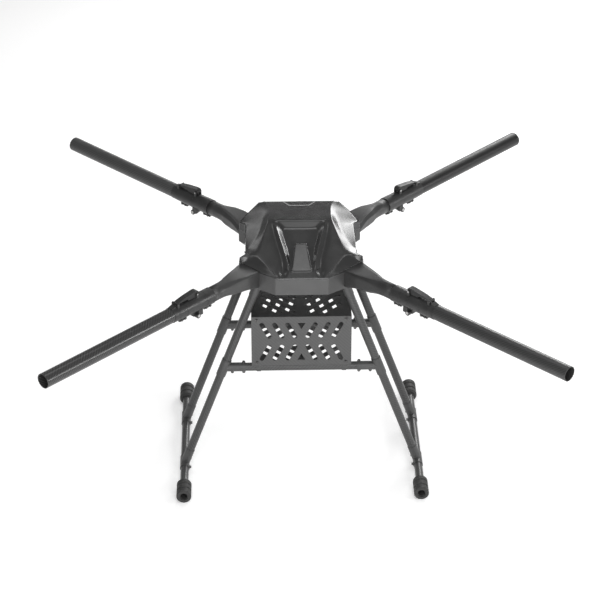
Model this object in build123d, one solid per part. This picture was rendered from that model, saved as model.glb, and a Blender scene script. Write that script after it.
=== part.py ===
from build123d import *
import os
from math import atan2, cos, degrees, hypot, radians, sqrt, tan

# Folding four-arm multirotor airframe with a carbon-tube landing gear and a slotted payload bay.
# Millimetres. +Z is up, the front faces -Y, and the ground is Z = 0 below the body's centre.

# ---------------------------------------------------------------- driving dimensions
ARM_TUBE_R = 17.5            # 35 mm arm tube
ARM_TUBE_WALL = 1.5
ARM_SEAT_R = 17.2            # ground down where the tube is bonded into its collar
GEAR_TUBE_R = 10.0           # 20 mm landing-gear tube
GEAR_TUBE_WALL = 1.5
ARM_Z = 561.0                # arm axis above the ground
ARM_TIP = 804.5              # body centre to the end of an arm tube
LEG_Y = 98.0                 # the two leg planes stand at +/- this
LEG_TOP_X, LEG_TOP_Z = 101.0, ARM_Z - 35.0
SKID_X, SKID_Z = 286.0, 18.0
CROSS_Z = 294.0              # cross tubes' axis height
SHELL = 2.5                  # moulded wall

# ---------------------------------------------------------------- body
HULL_BOTTOM = ARM_Z - 36.0
HULL_TOP = ARM_Z + 8.0
DECK_Z = ARM_Z + 60.0
NOSE_X, NOSE_Y = 62.0, 155.0
CHEEK_X, CHEEK_Y = 99.0, 128.0       # where the arm root's outer side meets the hull
HORN_X, HORN_Y = 146.0, 81.0         # where its waist side meets the hull
WAIST_X, WAIST_Y = 131.0, 66.0
DECK_FRONT_Y, DECK_REAR_Y = 32.0, 131.0
SLOPE = (DECK_Z - HULL_TOP) / (DECK_FRONT_Y + NOSE_Y)
HORN_REBATE = 67.5                   # sum of a rebate's reach across an arm and its depth below the arm axis
NOSE_ROUND = 7.0
PLATE = 2.0                          # carbon centre plates
STUB = 36.0                          # width of an arm root's inner end
STUB_TOP, STUB_LOW = 7.0, -18.0      # its faces, from the arm axis
STUB_START = 94.0
STUB_BOLTS = (104.0, 120.0)          # along the arm
COVER_SCREW_Y, COVER_SCREW_RISE = 40.0, 7.0
DECK_RECESS = 1.2
SCREW_R = 1.6                        # M3 clearance

# ---------------------------------------------------------------- arm joint, measured along the arm
ROOT_START = (CHEEK_X + CHEEK_Y) / sqrt(2)
ROOT_ROUND = 276.0
ROOT_R = 18.2                        # barrel at the outer end of an arm root
SPIGOT_R, BORE_R = 17.0, 15.0        # where the fixed collar grips it, and the way through
CLAMP_R, HOUSING_R = 19.6, 19.2
EAR_LOW, EAR_HALF = -24.8, 6.0       # split ears under a clamp
CLAMP_BOLT_Z, CLAMP_BOLT_R = -21.9, 1.5
FIXED_CLAMP = (300.0, 325.0)
FOLD_S = 352.0                       # the joint face
FOLD_GAP = 0.15
PIN_Z = -26.0                        # hinge pin below the arm axis
PIN_R = 3.0
RUNNING = 0.05                       # radial clearance of a turning fit
KNUCKLE_R = 6.5
KNUCKLE_W, EAR_W = 8.0, 16.0         # half widths of the middle knuckle and of the ears outside it
SIDE_GAP = 0.3
FOLD_CLAMP = (388.0, 410.0)
TUBE_START = 356.0
COLLAR_END = 426.0
KEEPER_S, KEEPER_Z = 348.4, 26.2
LEVER_S, LEVER_Z = 408.5, 23.4
SMALL_PIN_R = 1.6
PIN_HEAD = 1.0
ROOT_EARS, FOLD_EARS = (302.0, 325.0), (381.0, 403.0)     # where the clamps' split ears stand
POST_R, POST_WALL = 3.2, 2.6
HUB_R = 3.0
LEVER_W = 7.0                        # half width of the latch lever
POST_OUT = LEVER_W + SIDE_GAP + POST_WALL

# ---------------------------------------------------------------- landing gear and bay
TEE_R = 11.6
SKID_HALF = 240.0
SLEEVE_R, SLEEVE_LEN = 18.0, 55.0
BAY_X, BAY_Y = 119.0, 109.0
BAY_LOW, BAY_HIGH = 303.0, 438.0
BAY_PLATE = 2.0
SLOT_W = 11.2
CLIP_R = 11.4                        # clips round the cross tubes that carry the floor

ARMS = {"front_right": (-45, 1), "rear_right": (45, -1), "rear_left": (135, 1), "front_left": (225, -1)}
CORNERS = {"front_right": (1, -1), "rear_right": (1, 1), "rear_left": (-1, 1), "front_left": (-1, -1)}


# ---------------------------------------------------------------- helpers
def rod(axis, start, end, radius, a=0.0, b=0.0):
    """Cylinder along X, Y or Z from start to end; a and b are its other two coordinates."""
    mid, length = (start + end) / 2, end - start
    if axis == "X":
        return Pos(mid, a, b) * Rot(0, 90, 0) * Cylinder(radius, length)
    if axis == "Y":
        return Pos(a, mid, b) * Rot(90, 0, 0) * Cylinder(radius, length)
    return Pos(a, b, mid) * Cylinder(radius, length)


def block(x0, x1, y0, y1, z0, z1):
    return Pos((x0 + x1) / 2, (y0 + y1) / 2, (z0 + z1) / 2) * Box(x1 - x0, y1 - y0, z1 - z0)


def plan(points, z0, z1):
    """Upright prism of a plan outline."""
    return extrude(Pos(0, 0, z0) * make_face(Polyline(*points, close=True)), z1 - z0)


def profile_y(points, half):
    """Prism of an (x, z) outline, centred on Y = 0."""
    face = make_face(Polyline(*[(x, 0, z) for x, z in points], close=True))
    return extrude(face, half, dir=(0, 1, 0), both=True)


def mirrored(points):
    """Closes a right-hand outline, listed front to rear, with its mirror image."""
    return points + [(-x, y) for x, y in reversed(points)]


def polyhedron(faces):
    return Solid(Shell([Face(Wire.make_polygon([Vector(*v) for v in f], close=True)) for f in faces]))


def joined(pieces):
    total = pieces[0]
    for piece in pieces[1:]:
        total += piece
    return total


# ---------------------------------------------------------------- body
def hull_outline(inset=0.0):
    front = [(NOSE_X, -NOSE_Y), (CHEEK_X, -CHEEK_Y), (HORN_X, -HORN_Y), (WAIST_X, -WAIST_Y)]
    ring = mirrored(front + [(x, -y) for x, y in reversed(front)])
    face = make_face(Polyline(*ring, close=True))
    return offset(face, -inset, kind=Kind.INTERSECTION) if inset else face


def arm_windows():
    """Openings in the hull for the inner ends of the arm roots."""
    half = STUB / 2
    window = block(ROOT_START - 14, ROOT_START + 6, -half, half, STUB_LOW, STUB_TOP + 5)
    return joined([Pos(0, 0, ARM_Z) * Rot(0, 0, angle) * window for angle, side in ARMS.values()])


def horn_rebates(shift=0.0):
    """Sloping cuts under the waist side of each arm, moved inwards by shift."""
    reach, low = HORN_REBATE - shift * sqrt(2), HULL_BOTTOM - ARM_Z - 4
    start = (WAIST_X + WAIST_Y) / sqrt(2)
    cuts = []
    for name, (angle, side) in ARMS.items():
        points = [(reach + low, low), (52, low), (52, 52 - reach)]
        face = make_face(Polyline(*[(start, side * t, z) for t, z in points], close=True))
        cuts.append(place_arm(name, extrude(face, 30, dir=(1, 0, 0))))
    return joined(cuts)


def lower_hull():
    outer = extrude(Pos(0, 0, HULL_BOTTOM) * hull_outline(), HULL_TOP - HULL_BOTTOM)
    corners = [edge for edge in outer.edges().filter_by(Axis.Z) if abs(edge.center().Y) > NOSE_Y - 1]
    outer = fillet(corners, NOSE_ROUND) - horn_rebates()
    cavity = extrude(Pos(0, 0, HULL_BOTTOM + SHELL) * hull_outline(SHELL), HULL_TOP - HULL_BOTTOM)
    return outer - (cavity - horn_rebates(SHELL)) - arm_windows()


def cover_block(kx=1.0, ky=1.0, kz=1.0):
    """The cover's outer form, shrunk towards its base centre by the three factors."""
    def right(x, y, z):
        return (kx * x, ky * y, HULL_TOP + kz * (z - HULL_TOP))

    def on_slope(x, y):
        return right(x, y, HULL_TOP + SLOPE * (y + NOSE_Y))

    nose, cheek = right(NOSE_X, -NOSE_Y, HULL_TOP), right(CHEEK_X, -CHEEK_Y, HULL_TOP)
    horn, waist = right(HORN_X, -HORN_Y, HULL_TOP), right(WAIST_X, -WAIST_Y, HULL_TOP)
    waist2, horn2 = right(WAIST_X, WAIST_Y, HULL_TOP), right(HORN_X, HORN_Y, HULL_TOP)
    cheek2, nose2 = right(CHEEK_X, CHEEK_Y, HULL_TOP), right(NOSE_X, NOSE_Y, HULL_TOP)
    horn_tip, waist_top = right(143, -88, ARM_Z + 26), right(WAIST_X, -WAIST_Y, ARM_Z + 27)
    waist_top2, horn_tip2 = right(WAIST_X, WAIST_Y, ARM_Z + 30), right(143, 88, ARM_Z + 28)
    rim = [on_slope(104.6, -82), on_slope(92, -37), on_slope(83, -5), on_slope(76, DECK_FRONT_Y)]
    deck_mid, deck_end = right(75, 66, DECK_Z), right(86, DECK_REAR_Y, DECK_Z)
    base = [nose, cheek, horn, waist, waist2, horn2, cheek2, nose2]
    side = [
        (nose, rim[0], cheek), (cheek, rim[0], horn_tip), (cheek, horn_tip, horn),
        (horn, horn_tip, waist_top), (horn, waist_top, waist), (waist, waist_top, waist_top2),
        (waist, waist_top2, waist2), (waist2, waist_top2, horn_tip2), (waist2, horn_tip2, horn2),
        (horn2, horn_tip2, cheek2), (cheek2, horn_tip2, deck_end), (cheek2, deck_end, nose2),
        (rim[0], waist_top, horn_tip), (rim[0], rim[1], waist_top), (rim[1], rim[2], waist_top),
        (rim[2], rim[3], waist_top2), (rim[2], waist_top2, waist_top), (rim[3], deck_mid, waist_top2),
        (deck_mid, deck_end, waist_top2), (deck_end, horn_tip2, waist_top2),
    ]

    def flip(v):
        return (-v[0], v[1], v[2])

    middle = [
        base + [flip(v) for v in reversed(base)],
        [nose] + rim + [flip(v) for v in reversed(rim)] + [flip(nose)],
        [rim[3], deck_mid, deck_end, flip(deck_end), flip(deck_mid), flip(rim[3])],
        [deck_end, nose2, flip(nose2), flip(deck_end)],
    ]
    return polyhedron(side + [[flip(v) for v in f] for f in side] + middle)


def brow():
    """Raised tapered block on the front slope, widening towards the nose."""
    def section(y, half, high):
        base = HULL_TOP + SLOPE * (y + NOSE_Y) - 1.5
        points = [(-half - 3, y, base), (half + 3, y, base), (half, y, base + high), (-half, y, base + high)]
        return make_face(Polyline(*points, close=True))

    return loft([section(-134, 22, 4), section(-50, 13, 9)])


def top_cover():
    body = cover_block() + brow()
    hollow = cover_block(0.972, 0.98, 0.95)
    recess = [(-45, DECK_REAR_Y), (-24, 105), (24, 105), (45, DECK_REAR_Y), (45, 140), (-45, 140)]
    rear_notch = plan(recess, DECK_Z - DECK_RECESS, DECK_Z + 5)
    roots = joined([place_arm(name, root_body(side)) for name, (angle, side) in ARMS.items()])
    return body - hollow - rear_notch - roots - cover_screws()


def centre_plate(z0, half_x, half_y):
    corner = 26.0
    right = [(half_x - corner, -half_y), (half_x, -half_y + corner),
             (half_x, half_y - corner), (half_x - corner, half_y)]
    plate = plan(mirrored(right), z0, z0 + PLATE)
    window = plan(mirrored([(30, -42), (38, -34), (38, 34), (30, 42)]), z0 - 1, z0 + PLATE + 1)
    holes = [rod("Z", z0 - 1, z0 + PLATE + 1, SCREW_R, x, y) for x, y in stub_bolt_places()]
    return plate - window - joined(holes)


def stub_bolt_places():
    """Two bolts through the inner end of each arm root."""
    places = []
    for sx, sy in CORNERS.values():
        places += [(sx * s / sqrt(2), sy * s / sqrt(2)) for s in STUB_BOLTS]
    return places


STANDOFFS = [(sx * x, sy * y) for x, y in ((92, 18), (40, 84)) for sx in (-1, 1) for sy in (-1, 1)]


def plate_standoffs():
    posts = [rod("Z", ARM_Z + STUB_LOW, ARM_Z + STUB_TOP, 4.0, x, y) for x, y in STANDOFFS]
    feet = [rod("Z", HULL_BOTTOM + SHELL, ARM_Z + STUB_LOW - PLATE, 4.0, x, y) for x, y in STANDOFFS]
    return Compound(posts + feet)


def plate_bolts():
    top, low = ARM_Z + STUB_TOP + PLATE, ARM_Z + STUB_LOW - PLATE
    bolts = []
    for x, y in stub_bolt_places():
        shank = rod("Z", low - 2.4, top, SCREW_R, x, y)
        heads = rod("Z", top, top + 2.4, 3.2, x, y) + rod("Z", low - 2.4, low, 3.2, x, y)
        bolts.append(shank + heads)
    return Compound(bolts)


def power_board():
    low = ARM_Z + STUB_LOW
    board = block(-34, 34, -46, 46, low, low + 1.6)
    pads = [block(sx * 26 - 5, sx * 26 + 5, y - 5, y + 5, low + 1.6, low + 4.6)
            for sx in (-1, 1) for y in (-30, 0, 30)]
    bus = block(-12, 12, -14, 14, low + 1.6, low + 8)
    return board + joined(pads) + bus


def cover_screws():
    """Button-head screws in the cover's waist sides, two to a side."""
    screws, z = [], HULL_TOP + COVER_SCREW_RISE
    for y in (-COVER_SCREW_Y, COVER_SCREW_Y):
        screw = rod("X", WAIST_X - 9, WAIST_X + 0.2, 1.5, y, z) + rod("X", WAIST_X, WAIST_X + 1.6, 3.0, y, z)
        screws += [screw, mirror(screw, Plane.YZ)]
    return Compound(screws)


# ---------------------------------------------------------------- arms, built along +X, axis at Z = 0
def place_arm(name, piece):
    return Pos(0, 0, ARM_Z) * Rot(0, 0, ARMS[name][0]) * piece


def root_section(s, waist, outer, top, low_outer, low_waist, cuts, side):
    """Eight-sided section of the arm root; the waist side is +Y when side is 1."""
    top_waist, top_outer, bottom_outer, bottom_waist = cuts
    points = [(waist, top - top_waist), (waist - top_waist, top), (top_outer - outer, top),
              (-outer, top - top_outer), (-outer, low_outer + bottom_outer),
              (bottom_outer - outer, low_outer), (waist - bottom_waist, low_waist),
              (waist, low_waist + bottom_waist)]
    return make_face(Polyline(*[(s, side * t, z) for t, z in points], close=True))


def root_body(side):
    even = (ROOT_R * (1 - tan(radians(22.5))),) * 4
    sections = [
        root_section(ROOT_START, 46.0, 20.5, 12.0, -33.0, -27.0, (7.0, 2.0, 3.0, 27.0), side),
        root_section(187.0, 37.0, 23.3, 15.2, -25.5, -24.0, (7.4, 3.0, 5.0, 17.8), side),
        root_section(203.0, 31.5, 25.0, 17.0, -22.0, -22.0, (7.6, 3.5, 6.7, 13.7), side),
        root_section(225.0, 26.0, 23.5, 18.5, -21.5, -21.5, (8.8, 6.7, 8.9, 11.3), side),
        root_section(250.0, 21.5, 21.5, 19.5, -20.5, -20.5, (12.0, 12.0, 12.0, 12.0), side),
        root_section(ROOT_ROUND, ROOT_R, ROOT_R, ROOT_R, -ROOT_R, -ROOT_R, even, side),
    ]
    return joined([loft([a, b], ruled=True) for a, b in zip(sections, sections[1:])])


def arm_root(side):
    barrel = rod("X", ROOT_ROUND - 1, FIXED_CLAMP[0], ROOT_R) + rod("X", *FIXED_CLAMP, SPIGOT_R)
    stub = block(STUB_START, ROOT_START + 1, -STUB / 2, STUB / 2, STUB_LOW, STUB_TOP)
    wire_way = rod("X", 185, FIXED_CLAMP[1] + 1, BORE_R - 0.5)
    wire_way += block(STUB_START - 4, 190, -BORE_R, BORE_R, STUB_LOW + 3, STUB_TOP - 3)
    bolts = joined([rod("Z", STUB_LOW - 2, STUB_TOP + 2, SCREW_R, s, 0) for s in STUB_BOLTS])
    return root_body(side) + barrel + stub - wire_way - bolts


def clamp_ears(start, end):
    """Split ears under a clamp, with their two bolt holes."""
    ears = block(start, end, -EAR_HALF, EAR_HALF, EAR_LOW, -14)
    ears -= block(start - 1, end + 1, -1.0, 1.0, EAR_LOW - 1, -14)
    holes = [rod("Y", -EAR_HALF - 1, EAR_HALF + 1, CLAMP_BOLT_R, s, CLAMP_BOLT_Z)
             for s in clamp_bolt_places(start, end)]
    return ears - joined(holes)


def clamp_bolt_places(start, end):
    return (start + 5.5, end - 5.5)


def clamp_bolts(start, end):
    head_r, head = 2.5, 2.6
    bolts = []
    for s in clamp_bolt_places(start, end):
        bolts.append(rod("Y", -EAR_HALF, EAR_HALF, CLAMP_BOLT_R, s, CLAMP_BOLT_Z)
                     + rod("Y", EAR_HALF, EAR_HALF + head, head_r, s, CLAMP_BOLT_Z)
                     + rod("Y", -EAR_HALF - head, -EAR_HALF, head_r, s, CLAMP_BOLT_Z))
    return bolts


def pin_post(s, z, foot):
    """Two ears beside the lever that hold a pin at (s, z)."""
    inner, outer = LEVER_W + SIDE_GAP, POST_OUT
    post = rod("Y", -outer, outer, POST_R, s, z) + block(s - POST_R, s + POST_R, -outer, outer, foot, z)
    return post - block(s - POST_R - 1, s + POST_R + 1, -inner, inner, foot - 1, z + POST_R + 1)


def fixed_collar():
    face = FOLD_S - FOLD_GAP
    body = rod("X", *FIXED_CLAMP, CLAMP_R) + rod("X", FIXED_CLAMP[1], face, HOUSING_R)
    body += clamp_ears(*ROOT_EARS)
    ears = block(FOLD_S - 13, face, -EAR_W, EAR_W, PIN_Z, -12)
    ears += rod("Y", -EAR_W, EAR_W, KNUCKLE_R, FOLD_S, PIN_Z)
    ears -= block(FOLD_S - FOLD_GAP, FOLD_S + 10, -20, 20, PIN_Z + KNUCKLE_R - 2.4, 0)
    ears -= block(FOLD_S - 20, FOLD_S + 10, -KNUCKLE_W - SIDE_GAP, KNUCKLE_W + SIDE_GAP, -40, 0)
    body += ears + pin_post(KEEPER_S, KEEPER_Z, 14)
    body -= rod("X", FIXED_CLAMP[0] - 1, FIXED_CLAMP[1], SPIGOT_R)
    body -= rod("X", FIXED_CLAMP[1] - 1, FOLD_S, BORE_R)
    body -= rod("Y", -KNUCKLE_W - SIDE_GAP, KNUCKLE_W + SIDE_GAP, KNUCKLE_R + 0.5, FOLD_S, PIN_Z)
    body -= rod("Y", -EAR_W - 1, EAR_W + 1, PIN_R, FOLD_S, PIN_Z)
    return body - rod("Y", -14, 14, SMALL_PIN_R, KEEPER_S, KEEPER_Z)


def folding_collar():
    face = FOLD_S + FOLD_GAP
    body = rod("X", face, FOLD_CLAMP[0], HOUSING_R) + rod("X", *FOLD_CLAMP, HOUSING_R - 0.5)
    body += clamp_ears(*FOLD_EARS)
    knuckle = block(FOLD_S + FOLD_GAP, FOLD_S + 9, -KNUCKLE_W, KNUCKLE_W, PIN_Z - 2, -16)
    knuckle += rod("Y", -KNUCKLE_W, KNUCKLE_W, KNUCKLE_R, FOLD_S, PIN_Z)
    body += knuckle + pin_post(LEVER_S, LEVER_Z, 12)
    ramp_start = LEVER_S + HUB_R + 3.5
    body += profile_y([(ramp_start, 12), (ramp_start, 22), (COLLAR_END, 18.4), (COLLAR_END, 12)], LEVER_W)
    body += rod("X", FOLD_CLAMP[1], COLLAR_END, ARM_TUBE_R + 0.8)
    body -= rod("X", face - 1, COLLAR_END, ARM_SEAT_R)
    body -= rod("Y", -KNUCKLE_W - 1, KNUCKLE_W + 1, PIN_R + RUNNING, FOLD_S, PIN_Z)
    return body - rod("Y", -14, 14, SMALL_PIN_R, LEVER_S, LEVER_Z)


def latch_lever():
    """Over-centre lever: hooks over the keeper pin and turns on its own pin at the outer end."""
    low, raised = HOUSING_R + 0.8, LEVER_Z + 1.2
    hook = [(-5.5, 0.6), (-5.2, 5.4), (-3.2, 7.8), (1.0, 8.8), (6.0, 8.6)]       # from the keeper pin
    back = [(-42.5, 10.0), (-27.5, 8.3), (-15.5, 6.2), (-2.6, 3.2), (0, 0), (-2.8, 1.0)]  # from the lever pin
    outline = [(KEEPER_S + s, KEEPER_Z + z) for s, z in hook] + [(LEVER_S + s, LEVER_Z + z) for s, z in back]
    outline += [(LEVER_S - 30.5, raised), (LEVER_S - 34.5, low), (KEEPER_S + 0.4, low),
                (KEEPER_S + 0.4, KEEPER_Z + 0.6)]
    lever = profile_y(outline, LEVER_W) + rod("Y", -LEVER_W, LEVER_W, HUB_R, LEVER_S, LEVER_Z)
    lever -= rod("Y", -LEVER_W - 1, LEVER_W + 1, SMALL_PIN_R + 0.4, KEEPER_S, KEEPER_Z)
    return lever - rod("Y", -LEVER_W - 1, LEVER_W + 1, SMALL_PIN_R + RUNNING, LEVER_S, LEVER_Z)


def headed_pin(s, z, radius, half, head_r, heads=(-1, 1)):
    pin, tip = rod("Y", -half, half, radius, s, z), half + PIN_HEAD
    for side in heads:
        pin += rod("Y", min(side * half, side * tip), max(side * half, side * tip), head_r, s, z)
    return pin


def latch_pin(s, z):
    return headed_pin(s, z, SMALL_PIN_R, POST_OUT, SMALL_PIN_R + 0.8, heads=(-1,))


def arm_tube():
    outside = rod("X", TUBE_START, COLLAR_END, ARM_SEAT_R) + rod("X", COLLAR_END, ARM_TIP, ARM_TUBE_R)
    return outside - rod("X", TUBE_START - 1, ARM_TIP + 1, ARM_TUBE_R - ARM_TUBE_WALL)


# ---------------------------------------------------------------- landing gear
LEG_LEAN = degrees(atan2(SKID_X - LEG_TOP_X, LEG_TOP_Z - SKID_Z))
LEG_DIR = Vector(SKID_X - LEG_TOP_X, 0, SKID_Z - LEG_TOP_Z).normalized()


def leg_x(z):
    """X of a right-hand leg's axis at height z."""
    return LEG_TOP_X + (LEG_TOP_Z - z) * (SKID_X - LEG_TOP_X) / (LEG_TOP_Z - SKID_Z)


def along_leg(z, start, end, radius):
    """Cylinder on the right-hand leg's axis, from start to end measured down the leg from height z."""
    mid = Vector(leg_x(z), 0, z) + LEG_DIR * ((start + end) / 2)
    return Pos(mid.X, mid.Y, mid.Z) * Rot(0, -LEG_LEAN, 0) * Cylinder(radius, end - start)


def at_corner(piece, sx, sy):
    """Moves a right-hand leg piece to its leg plane and, for a left leg, mirrors it."""
    moved = Pos(0, sy * LEG_Y, 0) * piece
    return moved if sx > 0 else mirror(moved, Plane.YZ)


def leg_tube():
    length = hypot(SKID_X - LEG_TOP_X, LEG_TOP_Z - SKID_Z)
    start, end = 8.0, length - GEAR_TUBE_R - 2
    bore = along_leg(LEG_TOP_Z, start - 1, end + 1, GEAR_TUBE_R - GEAR_TUBE_WALL)
    return along_leg(LEG_TOP_Z, start, end, GEAR_TUBE_R) - bore


def leg_socket():
    flange = block(LEG_TOP_X - 18, LEG_TOP_X + 18, -16, 16, HULL_BOTTOM - 3.5, HULL_BOTTOM)
    sleeve = along_leg(LEG_TOP_Z, 0, 36, TEE_R - 0.5)
    sleeve -= block(0, 300, -40, 40, HULL_BOTTOM, HULL_BOTTOM + 60)
    holes = [rod("Z", HULL_BOTTOM - 9, HULL_BOTTOM + 1, SCREW_R, x, y) for x, y in socket_bolt_places()]
    return flange + sleeve - along_leg(LEG_TOP_Z, 7.9, 60, GEAR_TUBE_R) - joined(holes)


def socket_bolt_places():
    return [(LEG_TOP_X + dx, dy) for dx in (-14.5, 14.5) for dy in (-12.5, 12.5)]


def socket_bolts():
    bolts = []
    for x, y in socket_bolt_places():
        bolts.append(rod("Z", HULL_BOTTOM - 3.5, HULL_BOTTOM, SCREW_R, x, y)
                     + rod("Z", HULL_BOTTOM - 6.0, HULL_BOTTOM - 3.5, 2.9, x, y))
    return bolts


CROSS_END = leg_x(CROSS_Z + GEAR_TUBE_R) - GEAR_TUBE_R / cos(radians(LEG_LEAN)) - 0.5
TEE_END = 134.0


def cross_tube(sy):
    end, bore = CROSS_END, GEAR_TUBE_R - GEAR_TUBE_WALL
    return rod("X", -end, end, GEAR_TUBE_R, sy * LEG_Y, CROSS_Z) - rod("X", -end - 1, end + 1, bore,
                                                                      sy * LEG_Y, CROSS_Z)


BOSS = TEE_R + 1.1                   # height of the flat screw bosses above a tee's axis


def cross_tee():
    body = along_leg(CROSS_Z, -23, 23, TEE_R) + rod("X", TEE_END, leg_x(CROSS_Z), TEE_R - 0.8, 0, CROSS_Z)
    body += rod("X", TEE_END, TEE_END + 8, TEE_R + 0.6, 0, CROSS_Z)
    body += rod("Z", CROSS_Z - BOSS, CROSS_Z + BOSS, 4.0, TEE_END + 4, 0)
    body += rod("Z", CROSS_Z - BOSS, CROSS_Z, 4.2, leg_x(CROSS_Z) - 20, 0)
    body -= along_leg(CROSS_Z, -40, 40, GEAR_TUBE_R)
    return body - rod("X", TEE_END - 1, CROSS_END, GEAR_TUBE_R, 0, CROSS_Z)


def skid_tube(sx):
    x, end = sx * SKID_X, SKID_HALF
    bore = rod("Y", -end - 1, end + 1, GEAR_TUBE_R - GEAR_TUBE_WALL, x, SKID_Z)
    return rod("Y", -end, end, GEAR_TUBE_R, x, SKID_Z) - bore


def skid_tee():
    socket = along_leg(SKID_Z, -44, 0, TEE_R - 0.5)
    sleeve = rod("Y", -25, 25, TEE_R, SKID_X, SKID_Z)
    end = -GEAR_TUBE_R - 2
    bosses = joined([rod("X", SKID_X - BOSS, SKID_X, 4.2, y, SKID_Z) for y in (-19, 19)])
    body = sleeve + socket + bosses - along_leg(SKID_Z, -60, end, GEAR_TUBE_R)
    return body - rod("Y", -40, 40, GEAR_TUBE_R, SKID_X, SKID_Z)


def bolt_head(axis, start, a, b, direction=1):
    """Socket-head screw standing on a surface, with its hexagon recess."""
    end = start + direction * 3.2
    head = rod(axis, min(start, end), max(start, end), 3.3, a, b)
    tip = end - direction * 1.5
    return head - rod(axis, min(tip, end), max(tip, end), 1.5, a, b)


def gear_bolts():
    """Screws of the leg sockets, cross tees and skid tees."""
    bolts = []
    for sx, sy in CORNERS.values():
        group = [bolt_head("Z", CROSS_Z + sz * BOSS, TEE_END + 4, 0, sz) for sz in (-1, 1)]
        group.append(bolt_head("Z", CROSS_Z - BOSS, leg_x(CROSS_Z) - 20, 0, -1))
        group += [bolt_head("X", SKID_X - BOSS, y, SKID_Z, -1) for y in (-19, 19)]
        bolts += [at_corner(bolt, sx, sy) for bolt in group + socket_bolts()]
    return Compound(bolts)


def skid_sleeve(sx, sy):
    """Ribbed rubber sleeve with a chamfered inner shoulder."""
    r, groove = SLEEVE_R, SLEEVE_R - 2.2
    steps = [(0, GEAR_TUBE_R), (0, r - 4), (4, r), (15, r), (16.5, groove), (20, groove), (21.5, r), (34, r),
             (35.5, groove), (39, groove), (40.5, r), (SLEEVE_LEN - 2, r), (SLEEVE_LEN, r - 2),
             (SLEEVE_LEN, GEAR_TUBE_R)]
    start = SKID_HALF + 3 - SLEEVE_LEN
    face = make_face(Polyline(*[(SKID_X + q, start + y, SKID_Z) for y, q in steps], close=True))
    sleeve = revolve(face, Axis((SKID_X, 0, SKID_Z), (0, 1, 0)))
    sleeve = sleeve if sy > 0 else mirror(sleeve, Plane.XZ)
    return sleeve if sx > 0 else mirror(sleeve, Plane.YZ)


# ---------------------------------------------------------------- payload bay
def slot(x0, y0, x1, y1):
    """Round-ended slot sketch between the centres of its two ends."""
    length = hypot(x1 - x0, y1 - y0) + SLOT_W
    place = Pos((x0 + x1) / 2, (y0 + y1) / 2) * Rot(0, 0, degrees(atan2(y1 - y0, x1 - x0)))
    return place * SlotOverall(length, SLOT_W)


WALL_SLOTS = [(-94.1, -76.6), (-63.7, -46.2), (-32.8, -15.3)]     # X at the outer and the inner end
WALL_ROWS = [(-144.2, -176.5), (-238.4, -205.6)]                  # heights from the arm axis, same ends
TRIANGLE_W, TRIANGLE_H = 19.0, 18.0                               # between the two halves of a row
DECK_LINES = [(-25, -10, -15, -20), (-60, -10, -19, -51), (-91, -15, -19, -87), (-91, -50, -51, -90)]
BRACKET_X = (98.0, 114.0)
CLIP_X = (97.0, 107.0)
BAY_SCREW_X = 106.0


def bay_wall(sy):
    """Front or back wall: two mirrored rows of leaning slots and two small triangles."""
    mid_z = (BAY_LOW + BAY_HIGH) / 2
    sketch = Rectangle(2 * BAY_X, BAY_HIGH - BAY_LOW)
    for high, low in WALL_ROWS:
        for x0, x1 in WALL_SLOTS:
            for sx in (-1, 1):
                sketch -= slot(sx * x0, ARM_Z + high - mid_z, sx * x1, ARM_Z + low - mid_z)
        lean = 1 if low > high else -1
        base = ARM_Z + high - lean * 4 - mid_z
        tip, half = base + lean * TRIANGLE_H, TRIANGLE_W / 2
        sketch -= make_face(Polyline((-half, base), (half, base), (0, tip), close=True))
    wall = extrude(Plane.XZ * sketch, BAY_PLATE / 2, both=True)
    return Pos(0, sy * (BAY_Y - BAY_PLATE / 2), mid_z) * wall


def bay_deck(z0):
    """Floor or top plate between the two walls; its slots run in an X, the same in all four quarters."""
    depth = BAY_Y - BAY_PLATE
    sketch = Rectangle(2 * BAY_X, 2 * depth)
    for sx in (-1, 1):
        for sy in (-1, 1):
            for x0, y0, x1, y1 in DECK_LINES:
                sketch -= slot(sx * x0, sy * y0, sx * x1, sy * y1)
    return Pos(0, 0, z0) * extrude(sketch, BAY_PLATE)


def bay_brackets():
    """Small angle brackets that join the plates at the four long edges."""
    brackets = []
    for sx in (-1, 1):
        for sy in (-1, 1):
            inside = BAY_Y - BAY_PLATE
            for z, up in ((BAY_LOW + 1 + BAY_PLATE, 1), (BAY_HIGH - BAY_PLATE, -1)):
                flat = block(*BRACKET_X, inside - 12, inside, *sorted((z, z + up * 2)))
                wall = block(*BRACKET_X, inside - 2, inside, *sorted((z, z + up * 12)))
                piece = flat + wall
                piece = piece if sy > 0 else mirror(piece, Plane.XZ)
                brackets.append(piece if sx > 0 else mirror(piece, Plane.YZ))
    return Compound(brackets)


def bay_clamps():
    """Clips round the cross tubes with a tab that carries the floor."""
    start, end = CLIP_X
    clip = block(start, end, -12, 10.5, CROSS_Z + 1, BAY_LOW) + rod("X", start, end, CLIP_R, 0, CROSS_Z)
    clip -= block(start - 1, end + 1, -13, 13, BAY_LOW - 0.2, BAY_LOW + 10)
    clip += block(start, end, -12, -6, CROSS_Z + 1, BAY_LOW + 1)
    clip = Pos(0, LEG_Y, 0) * (clip - rod("X", start - 7, end + 9, GEAR_TUBE_R, 0, CROSS_Z))
    pair = [clip, mirror(clip, Plane.XZ)]
    return Compound(pair + [mirror(piece, Plane.YZ) for piece in pair])


def bay_screws():
    """Screws through the bay's walls into its brackets."""
    places = [(sx * BAY_SCREW_X, z) for sx in (-1, 1) for z in (BAY_LOW + 9, BAY_HIGH - 8)]
    return Compound([bolt_head("Y", sy * BAY_Y, x, z, sy) for x, z in places for sy in (-1, 1)])


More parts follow.
